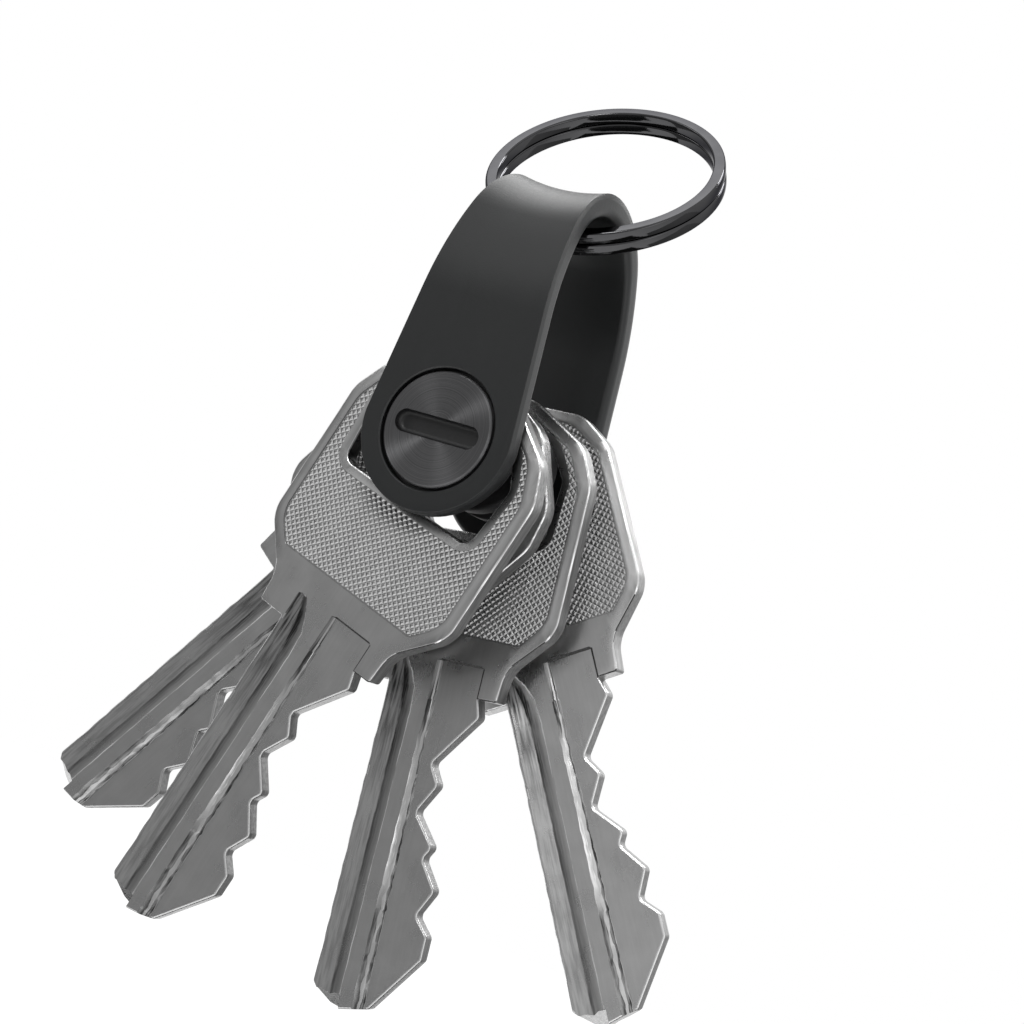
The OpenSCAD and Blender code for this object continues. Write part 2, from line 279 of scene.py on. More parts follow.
# soft-touch skin of the strap, rubbed a little shinier along its length
strapLook = {**plainLook, "dark": (0.012, 0.013, 0.0135), "light": (0.018, 0.0192, 0.0198),
             "rough": (0.34, 0.46), "clouds": 260.0, "grain": 9000.0, "bump": 0.000012,
             "rubs": 0.08, "rubStretch": (2600, 2600, 160), "rubDulls": -1.0}
# matt black: the inside of the coin slot, far darker than the turned head as painted shade, and the moulding of
# the spacers
slotShadeLook = {**plainLook, "dark": (0.009, 0.009, 0.0095), "light": (0.014, 0.014, 0.0145),
            "rough": (0.36, 0.5), "clouds": 700.0, "grain": 6000.0, "bump": 0.00001}
spacerLook = {**plainLook, "dark": (0.02, 0.02, 0.021), "light": (0.035, 0.035, 0.037),
              "rough": (0.5, 0.7), "gloss": 0.5, "clouds": 500.0, "grain": 7000.0, "bump": 0.00002}
# polished black nickel of the split ring; the edge colour keeps grazing reflections dark
ringLook = {**plainLook, "dark": (0.052, 0.052, 0.054), "light": (0.07, 0.07, 0.072),
            "edge": (0.4, 0.4, 0.41), "metal": 1.0, "gloss": 0.5, "rough": (0.05, 0.10),
            "roughBy": "Clouds", "roughReach": (0.3, 0.75), "clouds": 500.0, "grain": 5000.0,
            "bump": 0.000004, "bumpStrength": 0.4, "rubs": 0.4, "rubStretch": (1800, 1800, 1800),
            "rubDulls": 0.2}


def makeGrainy(name, look):   # tinted in clouds, rough and bumpy by its grain, rubbed where it has rubs
    material, tree, skin = newMaterial(name)
    place = (addNode(tree, "ShaderNodeTexCoord", {}), "Object")
    grain = addGrain(tree, place, look)
    rough = spread(tree, (grain, look["roughBy"]), look["rough"], look["roughReach"])
    if "rubs" in look:
        rubs = addRubs(tree, place, look)
        rough = addMath(tree, "MULTIPLY_ADD", (rubs, "Mask"), look["rubDulls"], rough)
    feed(tree, skin, {"Metallic": look["metal"], "Specular IOR Level": look["gloss"],
                      "Specular Tint": (*look["edge"], 1), "Roughness": rough,
                      "Base Color": mixColour(tree, (grain, "Clouds"), look["dark"], look["light"]),
                      "Normal": addBump(tree, (grain, "Grain"), look["bumpStrength"], look["bump"])})
    return material


# black anodised metal with the marks of the lathe, rings round the post's axis
turnedLook = {"dark": (0.065, 0.065, 0.067), "light": (0.18, 0.18, 0.184), "rough": (0.28, 0.38),
              "ringsPerMetre": 9000.0, "bump": 0.000006, "streak": 0.93,
              "streakTurn": 0.25}   # turned so, highlights run across the rings


def makeTurnedBlack(look):
    material, tree, skin = newMaterial("turnedBlack")
    place = (addNode(tree, "ShaderNodeTexCoord", {}), "Object")
    away = (-postAt.x, 0, -postAt.z)
    centre = addNode(tree, "ShaderNodeMapping", {"Vector": place, "Location": away})
    flat = addNode(tree, "ShaderNodeVectorMath", {0: (centre, "Vector"), 1: (1, 0, 1)},
                   operation="MULTIPLY")
    radius = addNode(tree, "ShaderNodeVectorMath", {0: (flat, "Vector")}, operation="LENGTH")
    rings = addNode(tree, "ShaderNodeTexNoise",
                    {"W": (radius, "Value"), "Scale": look["ringsPerMetre"], "Detail": 4.0,
                     "Roughness": 0.65}, noise_dimensions="1D")
    marks = (rings, "Fac")
    tangent = addNode(tree, "ShaderNodeTangent", {}, direction_type="RADIAL", axis="Y")
    feed(tree, skin, {"Metallic": 1.0, "Anisotropic": look["streak"],
                      "Anisotropic Rotation": look["streakTurn"], "Tangent": (tangent, "Tangent"),
                      "Base Color": mixColour(tree, marks, look["dark"], look["light"]),
                      "Roughness": spread(tree, marks, look["rough"]),
                      "Normal": addBump(tree, marks, 0.7, look["bump"])})
    return material


# satin nickel of the keys: brushed along the blade, with dirt and painted shade in the hollows and painted
# highlights along the edges
keyLook = {"dark": (0.40, 0.40, 0.40), "light": (0.54, 0.54, 0.54), "dirtAndShade": (0.04, 0.04, 0.04),
           "paintedLight": (0.95, 0.95, 0.95), "rough": (0.25, 0.33), "scuff": 0.15, "clouds": 320.0,
           "grain": 3600.0, "bump": 0.00001, "crinkle": 5.0, "rubs": 0.25,
           "rubStretch": (4000, 4000, 250),
           "uneven": ((-0.65, -1.2), (0.38, 0.62)), "patchy": ((0.0, 1.4), (0.45, 0.58))}


def makeKeyNickel(look):
    material, tree, skin = newMaterial("keyNickel")
    # place on the key itself, its painted light level, and its marks: below 0 dirt and painted shade, above 0
    # painted highlight
    own, paintedKeyLight, marks = (addNode(tree, "ShaderNodeAttribute", {}, attribute_name=label)
                        for label in ("own", "paintedKeyLight", "dirtAndLight"))
    dirtAndLight = (marks, "Fac")
    grain = addGrain(tree, (own, "Vector"), look)
    rubs = addRubs(tree, (own, "Vector"), look)
    clouds, lines = (grain, "Clouds"), (rubs, "Lines")
    # a tint that is half lines and half clouds, scaled by the painted light level, then dirt and painted shade,
    # then painted highlights
    half = addMath(tree, "MULTIPLY", clouds, 0.5)
    brushed = addMath(tree, "MULTIPLY_ADD", lines, 0.5, half)
    tint = mixColour(tree, brushed, look["dark"], look["light"])
    keyLit = addNode(tree, "ShaderNodeVectorMath", {0: tint, "Scale": (paintedKeyLight, "Fac")}, operation="SCALE")
    dirtAndShade = addMath(tree, "MULTIPLY", dirtAndLight, spread(tree, lines, *look["uneven"]))
    highlightShare = addMath(tree, "MULTIPLY", dirtAndLight, spread(tree, lines, *look["patchy"]))
    colour = (keyLit, "Vector")
    for share, over in ((dirtAndShade, look["dirtAndShade"]), (highlightShare, look["paintedLight"])):
        mixed = {"Factor": share, "A": colour, "B": (*over, 1)}
        colour = (addNode(tree, "ShaderNodeMix", mixed, data_type="RGBA"), "Result")
    rough = spread(tree, clouds, look["rough"])
    # the lines stand out in the bump where there are marks of either kind, dark or bright
    marked = addMath(tree, "MULTIPLY", dirtAndLight, dirtAndLight)
    much = addMath(tree, "MULTIPLY", marked, look["crinkle"])
    crinkled = addMath(tree, "MULTIPLY_ADD", lines, much, (grain, "Grain"))
    feed(tree, skin, {"Metallic": 1.0, "Base Color": colour,
                      "Roughness": addMath(tree, "MULTIPLY_ADD", (rubs, "Mask"), look["scuff"], rough),
                      "Normal": addBump(tree, crinkled, 0.5, look["bump"])})
    return material


strapSkin = makeGrainy("softTouchSkin", strapLook)
turnedBlack = makeTurnedBlack(turnedLook)
# the slot's matt inside, painted dark as shade
slotPaintedShade = makeGrainy("slotPaintedShade", slotShadeLook)
spacerPlastic = makeGrainy("spacerPlastic", spacerLook)
keyNickel = makeKeyNickel(keyLook)
blackNickel = makeGrainy("blackNickel", ringLook)
print("materials made")


# strap: a half section spun round the post, drawn up the leg, leaned in and folded over, then mirrored
strapHigh = nodeBox("strap")[1]
screwLow, screwHigh = nodeBox("front_screw")
headRadius = screwHigh.x
headThick = 1.2
strapSize = {"thick": 2.2, "foldWidth": 10.0, "foldRadius": 8.8, "legHeight": 12.6, "saddle": 0.6,
             "edgeIn": 0.12, "edgeDown": 0.55, "outerRound": 0.08, "edgeRound": 0.6, "innerRound": 0.8,
             "recessGap": 0.3, "lip": 0.12, "boreRadius": 2.55, "faceCuts": 9, "footSteps": 40,
             "leanSteps": 10, "foldSteps": 24}


def makeStrap(size):
    width, out, crest = strapHigh
    inner = out - size["thick"]
    bm = openSection([(0, -out, 0), (width - size["edgeIn"], -out, size["outerRound"]),
                      (width, -out + size["edgeDown"], size["edgeRound"]),
                      (width, -inner, size["innerRound"]), (0, -inner, 0)])
    long = [e for e in bm.edges if e.calc_length() > width / 2]
    bmesh.ops.subdivide_edges(bm, edges=long, cuts=size["faceCuts"])
    sweep(bm, bm.verts[:] + bm.edges[:], (0, 1, 0), math.pi, size["footSteps"])
    bmesh.ops.remove_doubles(bm, verts=bm.verts[:], dist=0.0005)
    lifted = bmesh.ops.extrude_edge_only(bm, edges=openEdges(bm))["geom"]
    bmesh.ops.translate(bm, verts=vertsOf(lifted), vec=(0, 0, size["legHeight"]))
    # the leg leans in on an arc that runs smoothly into the fold
    foldZ = crest - size["foldRadius"]
    rise = foldZ - size["legHeight"]
    leanRadius = (out ** 2 + rise ** 2 - size["foldRadius"] ** 2) / (2 * (out - size["foldRadius"]))
    lean = math.atan2(rise, leanRadius - out)
    for centre, turn, steps in (((0, leanRadius - out, size["legHeight"]), lean, size["leanSteps"]),
                                ((0, 0, foldZ), math.pi / 2 - lean, size["foldSteps"])):
        edges = openEdges(bm)
        verts = list(dict.fromkeys(v for e in edges for v in e.verts))
        sweep(bm, verts + edges, (-1, 0, 0), turn, steps, centre)
    bmesh.ops.mirror(bm, geom=bm.verts[:] + bm.edges[:] + bm.faces[:], matrix=Matrix.Identity(4),
                     merge_dist=0.002, axis="Y")
    closeUp(bm)
    # narrow towards the fold, and let the fold sag a little between its edges
    slope = (width - size["foldWidth"] / 2) / crest
    for vert in bm.verts:
        z = vert.co.z
        if z > 0:
            share = vert.co.x / width
            vert.co.x -= share * slope * z
            bent = clamp((z - size["legHeight"]) / (crest - size["legHeight"]))
            bent = bent ** 2 * (3 - 2 * bent)
            outward = Vector((0, vert.co.y, z - foldZ if z > foldZ else 0)).normalized()
            vert.co -= outward * size["saddle"] * (1 - share ** 2) * bent
    piece = makeObject("strapLoop", bm)
    # a recess with a softened lip in each leg, and the bore for the post
    recess, lip, bore = headRadius + size["recessGap"], size["lip"], size["boreRadius"]
    for side in (-1, 1):
        face, floor, over = side * out, side * (out - headThick), side * (out + proud)
        flare = lathe([(0, over, 0), (recess + lip + proud, over, 0), (recess + lip, face, 0),
                       (recess, face - side * lip, 0), (recess, floor, 0), (0, floor, 0)])
        carve(piece, makeObject("recessTool", flare), "DIFFERENCE")
    end = out + proud
    drill = lathe([(0, -end, 0), (bore, -end, 0), (bore, end, 0), (0, end, 0)])
    carve(piece, makeObject("boreTool", drill), "DIFFERENCE")
    return piece


strapLoop = makeStrap(strapSize)
settle(strapLoop, strapSkin, "strap", "strap")
evenNormals(strapLoop)


# screw: a turned head with fine steps, a shank and a coin slot with a round bottom
screwSize = {"bevel": 0.2, "bevelRound": 0.08, "underGap": 0.05, "underRound": 0.05, "rings": 15,
             "ringShare": 0.75, "ringDepth": 0.012, "shankRadius": 1.5, "shankBevel": 0.3,
             "slotWidth": 2.2, "slotLength": 8.8, "slotDepth": 0.85, "slotRound": 0.55,
             "slotTop": 0.03, "slotSlack": 0.05}


# a head's section from the middle of its face out; inward is 1 or -1 along y, and stem closes it
def turnedHead(face, inward, size, stem):
    flatRadius = headRadius - size["bevel"]
    ringWide = flatRadius / size["rings"]
    steps = []
    for k in range(size["rings"]):
        steps.append((k * ringWide, face, 0))
        steps.append(((k + size["ringShare"]) * ringWide, face + inward * size["ringDepth"], 0))
    under = face + inward * (headThick - size["underGap"])
    rim = [(flatRadius, face, 0), (headRadius, face + inward * size["bevel"], size["bevelRound"]),
           (headRadius, under, size["underRound"])]
    return lathe(steps + rim + [(stem[0][0], under, 0)] + stem)


def makeScrew(size):
    face, end = screwLow.y, screwHigh.y
    radius, cut = size["shankRadius"], size["shankBevel"]
    shank = [(radius, end - cut, 0), (radius - cut, end, 0), (0, end, 0)]
    piece = makeObject("slottedScrew", turnedHead(face, 1, size, shank))
    slot = bmesh.new()
    bmesh.ops.create_circle(slot, cap_ends=True, segments=40, radius=size["slotWidth"] / 2,
                            matrix=onEdge)
    reach = (size["slotLength"] - size["slotWidth"]) / 2
    for vert in slot.verts:
        if abs(vert.co.x) > tiny:
            vert.co.x += math.copysign(reach, vert.co.x)
    bottom = vertsOf(bmesh.ops.extrude_face_region(slot, geom=slot.faces[:])["geom"])
    bmesh.ops.translate(slot, verts=bottom, vec=(0, size["slotDepth"] + proud, 0))
    low = [e for e in slot.edges if all(v in bottom for v in e.verts)]
    bevel(slot, low, size["slotRound"], 6, clamped=True)
    shift(slot, (0, face - proud, 0))
    closeUp(slot)
    carve(piece, makeObject("slotTool", slot), "DIFFERENCE")
    return piece


def paintSlotShade(piece, size):   # the inside of the slot is matt and painted dark as shade
    piece.data.materials.append(slotPaintedShade)
    for face in piece.data.polygons:
        x, y, z = (face.center - postAt) / mm
        inside = abs(z) < size["slotWidth"] / 2 and abs(x) < size["slotLength"] / 2
        if inside and size["slotTop"] < y - screwLow.y < size["slotDepth"] + size["slotSlack"]:
            face.material_index = 1


slottedScrew = makeScrew(screwSize)
settle(slottedScrew, turnedBlack, "screw", "front_screw")
paintSlotShade(slottedScrew, screwSize)


# post: a flanged tube that takes the shank
postSize = {"radius": 2.5, "endRound": 0.1, "boreRadius": 1.55, "boreEnd": 2.45}


def makePost(size, head):
    low, high = nodeBox("barrel_post")
    radius, bore, rounding = size["radius"], size["boreRadius"], size["endRound"]
    stem = [(radius, low.y, rounding), (bore, low.y, rounding), (bore, size["boreEnd"], 0),
            (0, size["boreEnd"], 0)]
    return makeObject("flangedPost", turnedHead(high.y, -1, head, stem))


flangedPost = makePost(postSize, screwSize)
settle(flangedPost, turnedBlack, "strap", "barrel_post")


# spacers: plain rings with softened edges
spacerSize = {"bore": 2.55, "boreRound": 0.1, "edgeRound": 0.25}


def makeSpacer(number, size):
    low, high = nodeBox(f"spacer_{number}")
    bore, boreRound, edgeRound = size["bore"], size["boreRound"], size["edgeRound"]
    ring = lathe([(bore, low.y, boreRound), (high.x, low.y, edgeRound), (high.x, high.y, edgeRound),
                  (bore, high.y, boreRound)])
    return makeObject(f"spacerRing{number}", ring)


for number in (1, 2, 3):
    settle(makeSpacer(number, spacerSize), spacerPlastic, "strap", f"spacer_{number}")


# keys: one pattern, placed four times; millimetres, front face at y = 0, blade down
pastTip = -55.0   # tools that run along the blade end here
keySize = {"thick": 2.1, "rimDrop": 0.16, "rimSlope": 0.8, "rimRound": 0.16, "neckFlat": (-19.0, -16.2),
           "bow": [(3.4, 6.4), (9.7, 2.6), (11.4, -1.0), (11.4, -15.1)], "bowRound": 3.0,
           "neck": (7.45, -19.3), "shoulder": (7.2, -22.4), "shoulderRound": 1.05,
           "hole": [(6.2, 2.55), (8.4, -1.0), (7.9, -7.25)], "holeRound": 1.2}
# the blade: its root is (across, up, rounding), its cuts (along, deep) and its tip (across, up)
bladeSize = {"length": 30.6, "back": 4.3, "edge": 5.7, "relief": 0.5, "edgeRound": 0.2,
             "stepRound": 0.15, "root": [(6.4, 1.5, 0), (7.3, 1.1, 0), (7.22, 0, 0.3)],
             "cuts": [(1.7, 0), (6.7, 3.7), (8.6, 2.5), (11.4, 4.1), (14.2, 1.6), (15.4, 2.3),
                      (18.0, 0.3), (20.5, 1.6), (22.1, 0), (24.3, 0)], "cutRound": 0.6,
             "tip": [(-4.3, 1.9), (-3.4, 1.0), (-2.7, 0.3), (-1.5, 0), (1.6, 0.76)], "tipRound": 0.45,
             "tipCut": [(-1, -51.5), (0.35, -51.6), (1.9, -53.1), (1.9, pastTip), (-1, pastTip)],
             "tipCutWide": (-4.7, -1.05), "wornStep": 0.8, "wornEdge": 0.08, "wornStart": 1.0,
             "wornStop": 4.0, "sunk": 0.004}   # sunk, so that it shares no plane with the bow
# the knurled field of the bow and the line round it
fieldSize = {"rim": 1.2, "lip": 0.85, "low": (8.1, -16.8), "round": 0.6, "pitch": 0.475, "deep": 0.12,
             "slope": 0.3, "rise": 0.85, "middle": -5.8, "span": 18.0, "past": (0.6, 0.4),
             "mask": (-0.4, 0.5), "borderWide": 0.15, "borderDeep": 0.07, "borderLean": 0.4,
             "borderGap": 0.01}
# the grooves: a section's own sizes, then stations of (z, left, bottom, right, depth, lift)
grooveSize = {"lip": 0.1, "leftDrop": 0.03, "floor": 0.08, "rightDrop": 0.09, "rightLip": 0.16,
              "wander": [0.03] * 4}
grooveRows = [(pastTip, -3.95, -2.5, -1.3, 0.58, 0), (-25.0, -3.95, -2.5, -1.3, 0.58, 0),
              (-22.6, -3.95, -2.75, -1.45, 0.55, 0), (-21.2, -3.95, -3.1, -2.1, 0.48, 0),
              (-20.2, -3.95, -3.4, -2.75, 0.36, 0), (-19.7, -3.9, -3.5, -3.05, 0.22, 0),
              (-19.45, -3.7, -3.5, -3.25, 0.1, 0.2)]
backRows = [(pastTip, -1.85, -0.6, 0.65, 0.6, 0), (-27.0, -1.85, -0.6, 0.65, 0.6, 0),
            (-22.8, -1.3, -0.6, 0.1, 0.2, 0), (-22.3, -0.9, -0.6, -0.3, 0.1, 0.2)]
# the milled flat: its pocket ends in the neck, its slanted wall has ledges of (run, depth, slip)
millSize = {"left": 0.4, "right": 5.35, "end": -19.4, "shallow": 0.4, "deep": 0.76, "slant": 1.25,
            "ledges": [(0.28, 0.42, 1.3), (0.6, 0.58, -1.0), (0.8, 0.9, 0.6)], "lip": 0.12,
            "round": 0.22, "step": 0.6, "wander": (0.07, 0.015, 0.07), "spare": 0.03, "gap": 0.02,
            "sideRun": 0.3, "sideOver": 0.01, "plateLeft": -0.6, "plateUp": 0.5, "plateDown": 0.3,
            "plateSunk": 0.006, "pocketSunk": 0.004, "pocketGap": 0.05, "pocketRun": 0.2}
toolRise = 0.6   # how far the key's tools stand out of its face
# turn, slip, painted light level, painted shade of the tip and painted light of the ledge tops of each key
keyPlaces = {"key_1": (-16, 0, 1.0, 0, 0.7), "key_2": (-34, 0.5, 0.95, 0, -0.3),
             "key_3": (6, -0.3, 1.0, -0.35, 0.5), "key_4": (34, -0.9, 1.3, -0.35, 1.0)}


def upright(x, z):   # a flat shape in the key's plane
    return Vector((x, 0, z))


def mirrored(half):
    return half + [(-x, z, r) for x, z, r in reversed(half)]


def bowCorners(size, inset, low):   # the bow's outline drawn in by inset, down to its low corners
    grow = (0.5, 1.0, 1.0, 1.0)
    drop = (1.0, 0.5, 0.5, -0.5)
    half = [(x - inset * a, z - inset * b, size["bowRound"])
            for (x, z), a, b in zip(size["bow"], grow, drop)]
    return mirrored(half + low)


def holeCorners(size, out):
    ways = ((1, 1), (1, 0.33), (1, -1))
    return mirrored([(x + out * a, z + out * b, size["holeRound"] + out)
                     for (x, z), (a, b) in zip(size["hole"], ways)])


def raised(bm, height):   # turns flat faces into a plate of that height
    grown = bmesh.ops.extrude_face_region(bm, geom=bm.faces[:])["geom"]
    bmesh.ops.translate(bm, verts=vertsOf(grown), vec=(0, height, 0))
    closeUp(bm)


def holedPlate(outer, inner, low, high):   # a flat plate from y = low to y = high with a hole
    bm = bmesh.new()
    roundedFace(bm, outer, upright)
    roundedFace(bm, inner, upright)
    bmesh.ops.delete(bm, geom=bm.faces[:], context="FACES_ONLY")
    bmesh.ops.triangle_fill(bm, use_beauty=True, use_dissolve=False, edges=bm.edges[:],
                            normal=(0, -1, 0))
    shift(bm, (0, low, 0))
    raised(bm, high - low)
    return bm


def isWall(face):
    return abs(face.normal.y) < steep


def softenRims(bm, offset):   # bevels the edges between the faces and the walls
    rims = [e for e in bm.edges if len(e.link_faces) == 2
            and isWall(e.link_faces[0]) != isWall(e.link_faces[1])]
    bevel(bm, rims, offset, 4)
    closeUp(bm)


def loft(rows):   # a solid through rows of points, each row with the same count
    bm = bmesh.new()
    face = bm.faces.new([bm.verts.new(point) for point in rows[0]])
    for before, after in zip(rows, rows[1:]):
        grown = bmesh.ops.extrude_face_region(bm, geom=[face] + face.edges[:])["geom"]
        face = next(g for g in grown if isinstance(g, bmesh.types.BMFace))
        for vert in face.verts:
            vert.co = min(zip(before, after), key=lambda pair: (pair[0] - vert.co).length)[1]
    closeUp(bm)
    return bm


def makeBow(size):
    corners = bowCorners(size, 0, [(*size["neck"], size["bowRound"]),
                                   (*size["shoulder"], size["shoulderRound"])])
    bm = holedPlate(corners, holeCorners(size, 0), 0, size["thick"])
    for level in (0, size["thick"]):
        flats = [f for f in bm.faces if all(abs(v.co.y - level) < 1e-4 for v in f.verts)]
        bmesh.ops.inset_region(bm, faces=flats, thickness=size["rimSlope"], depth=0,
                               use_even_offset=True, use_boundary=True)
    bm.normal_update()
    # the rim falls away outwards, except along the neck
    low, high = size["neckFlat"]
    for vert in bm.verts:
        if any(isWall(f) for f in vert.link_faces):
            share = clamp((vert.co.z - low) / (high - low))
            way = 1 if vert.co.y < size["thick"] / 2 else -1
            vert.co.y += way * size["rimDrop"] * share
    bm.normal_update()
    softenRims(bm, size["rimRound"])
    return makeObject("keyPattern", bm)


def millDepth(z, mill):   # the milled flat goes deeper from the shoulder to the tip
    share = (keySize["shoulder"][1] - z) / bladeSize["length"]
    return mill["shallow"] + (mill["deep"] - mill["shallow"]) * share


# more rows between, where the first values after z wander a little
def worn(rows, dice, step, amounts, stray=0.4):
    out = []
    for before, after in zip(rows, rows[1:]):
        count = max(round((after[0] - before[0]) / step), 1)
        for k in range(count):
            share = (k + dice.uniform(-stray, stray) * (k > 0)) / count
            z, *rest = [a + (b - a) * share for a, b in zip(before, after)]
            loose = [v + dice.uniform(-a, a) for v, a in zip(rest, amounts)]
            out.append((z, *loose, *rest[len(loose):]))
    return out + [rows[-1]]


def grooveTool(rows, size):   # a lopsided vee with soft lips that runs out towards the bow
    def section(z, left, bottom, right, depth, lift):
        leftLip, rightLip = left - size["lip"], right + size["rightLip"]
        flat = [(leftLip - toolRise, -toolRise), (leftLip, 0), (left, size["leftDrop"]),
                (bottom - size["floor"], depth), (bottom + size["floor"], depth),
                (right, size["rightDrop"]), (rightLip, 0), (rightLip + toolRise, -toolRise)]
        return [Vector((x, y - lift, z)) for x, y in flat]
    return makeObject("grooveTool", loft([section(*row) for row in rows]))


def millTool(rows, mill, right, through=0):   # the milled flat, ledged and slanted on its left
    def section(z, left, depth, slip, lift):
        run = mill["slant"] * depth
        foot = mill["left"] + run
        wall = [(left + a * run + c * slip, b * depth) for a, b, c in mill["ledges"]]
        floor = [(right - mill["sideRun"], depth), (right, -mill["sideOver"])]
        if through:
            floor = [(foot, through), (right, through)]
        leftLip = left - mill["lip"]
        flat = [(leftLip - toolRise, -toolRise), (leftLip, 0), *wall, (foot, depth), *floor,
                (right, -toolRise)]
        return [Vector((x, y - lift, z)) for x, y in flat]
    return makeObject("millTool", loft([section(*row) for row in rows]))


def makeBlade(thick, size, mill, dice):
    top = keySize["shoulder"][1]
    tip = top - size["length"]
    root = [(x, top + z, r) for x, z, r in size["root"]]
    relief = (size["edge"] - size["relief"], top, size["stepRound"])
    bitting = [(size["edge"] - deep, top - along, size["cutRound"])
               for along, deep in reversed(size["cuts"])]
    outline = [(-x, z, r) for x, z, r in root] + [(-size["back"], top, size["stepRound"])]
    for k in range(round((size["length"] - size["wornStop"]) / size["wornStep"])):
        edge = -size["back"] + dice.uniform(0, size["wornEdge"])
        outline.append((edge, top - size["wornStart"] - k * size["wornStep"], 0))
    outline += [(x, tip + z, size["tipRound"]) for x, z in size["tip"]]
    bm = bmesh.new()
    roundedFace(bm, outline + bitting + [relief] + root[::-1], upright)
    shift(bm, (0, size["sunk"], 0))
    raised(bm, thick - 2 * size["sunk"])
    softenRims(bm, size["edgeRound"])
    blade = makeObject("bladeTool", bm)
    # the milled side is cut off along its slanted wall and put back as a thinner plate with soft rims
    rows = [(pastTip, mill["left"], millDepth(pastTip, mill) + mill["spare"], 0, 0),
            (top - mill["gap"], mill["left"], millDepth(top, mill) + mill["spare"], 0, 0)]
    rows = worn(rows, dice, mill["step"], mill["wander"])
    carve(blade, millTool(rows, mill, size["edge"] + 2 * proud, thick + proud), "DIFFERENCE")
    tipX, tipRise = size["tip"][-1]
    bm = bmesh.new()
    left, high = mill["plateLeft"], top + mill["plateUp"]
    plate = [(left, high, 0), (left, tip + mill["plateDown"], 0),
             (tipX, tip + tipRise, size["tipRound"]), *bitting, relief, (relief[0], high, 0)]
    roundedFace(bm, plate, upright)
    raised(bm, thick - mill["plateSunk"])
    for vert in bm.verts:
        if vert.co.y < thick / 2:
            vert.co.y = millDepth(vert.co.z, mill)
    bm.normal_update()
    softenRims(bm, mill["round"])
    carve(blade, makeObject("plateTool", bm), "UNION")
    return blade


def knurlTool(size, field):   # what is cut away between the points of the knurled field
    pitch, deep = field["pitch"], field["deep"]
    cells = round(2 * field["span"] / pitch)
    bm = bmesh.new()
    bmesh.ops.create_grid(bm, x_segments=cells, y_segments=cells, size=field["span"],
                          matrix=onEdge)
    rotate(bm, 45, "Y")
    shift(bm, (0, deep, field["middle"]))
    # trimmed to just past the field, each whole cell is drawn up to a point
    low = field["low"][1] - field["past"][0]
    high = size["bow"][0][1] - field["past"][1]
    reach = size["bow"][2][0]
    for where, way in (((0, 0, low), (0, 0, -1)), ((0, 0, high), (0, 0, 1)),
                       ((reach, 0, 0), (1, 0, 0)), ((-reach, 0, 0), (-1, 0, 0))):
        bmesh.ops.bisect_plane(bm, geom=bm.verts[:] + bm.edges[:] + bm.faces[:], dist=1e-5,
                               plane_co=where, plane_no=way, clear_outer=True)
    bmesh.ops.recalc_face_normals(bm, faces=bm.faces[:])
    whole = [f for f in bm.faces if f.calc_area() > 0.9 * pitch ** 2]
    towards = -1 if whole[0].normal.y > 0 else 1
    bmesh.ops.inset_individual(bm, faces=whole, thickness=pitch * field["slope"],
                               depth=towards * deep * field["rise"], use_even_offset=True)
    grown = bmesh.ops.extrude_edge_only(bm, edges=openEdges(bm))["geom"]
    for vert in vertsOf(grown):
        vert.co.y = -toolRise
    bmesh.ops.holes_fill(bm, edges=openEdges(bm), sides=0)
    closeUp(bm)
    tool = makeObject("knurlTool", bm)
    outline = bowCorners(size, field["rim"], [(*field["low"], field["round"])])
    mask = holedPlate(outline, holeCorners(size, field["lip"]), *field["mask"])
    carve(tool, makeObject("fieldTool", mask), "INTERSECT")
    return tool


def borderTool(size, field):   # a thin line round the knurled field
    x, z = field["low"]
    wide, gap, rounding = field["borderWide"], field["borderGap"], field["round"]
    low = (x + wide * field["borderLean"], z - wide, rounding)
    outer = bowCorners(size, field["rim"] - wide, [low])
    inner = bowCorners(size, field["rim"] + gap, [(x, z + gap, rounding)])
    plate = holedPlate(outer, inner, field["mask"][0], field["borderDeep"])
    return makeObject("borderTool", plate)


def flipped(tool, thick):   # the same tool for the other face of the key
    copy = bpy.data.objects.new(tool.name + "Back", tool.data.copy())
    copy.data.transform(Matrix.Translation((0, thick, 0)) @ Matrix.Scale(-1, 4, (0, 1, 0)))
    copy.data.flip_normals()
    bpy.context.scene.collection.objects.link(copy)
    return copy


def makeKeyPattern(size, blade, field, mill):
    dice = random.Random(5)
    thick = size["thick"]
    pattern = makeBow(size)
    carve(pattern, makeBlade(thick, blade, mill, dice), "UNION")
    grooved = worn(grooveRows, dice, blade["wornStep"], grooveSize["wander"])
    carve(pattern, grooveTool(grooved, grooveSize), "DIFFERENCE")
    shallow = mill["shallow"] - mill["pocketSunk"]
    shelf = shallow - mill["pocketGap"]
    pocketRows = [(size["shoulder"][1] - mill["pocketGap"], mill["left"], shallow, 0, 0),
                  (mill["end"] - mill["pocketRun"], mill["left"], shelf, 0, 0),
                  (mill["end"] + mill["gap"], mill["left"], shelf, 0, shallow - mill["gap"])]
    carve(pattern, millTool(pocketRows, mill, mill["right"]), "DIFFERENCE")
    tipCut = loft([[Vector((x, y, z)) for y, z in blade["tipCut"]] for x in blade["tipCutWide"]])
    carve(pattern, makeObject("tipTool", tipCut), "DIFFERENCE")
    front = grooveTool(backRows, grooveSize)
    carve(pattern, flipped(front, thick), "DIFFERENCE")
    bpy.data.objects.remove(front)
    for tool in (knurlTool(size, field), borderTool(size, field)):
        back = flipped(tool, thick)
        carve(pattern, tool, "DIFFERENCE")
        carve(pattern, back, "DIFFERENCE")
    return pattern


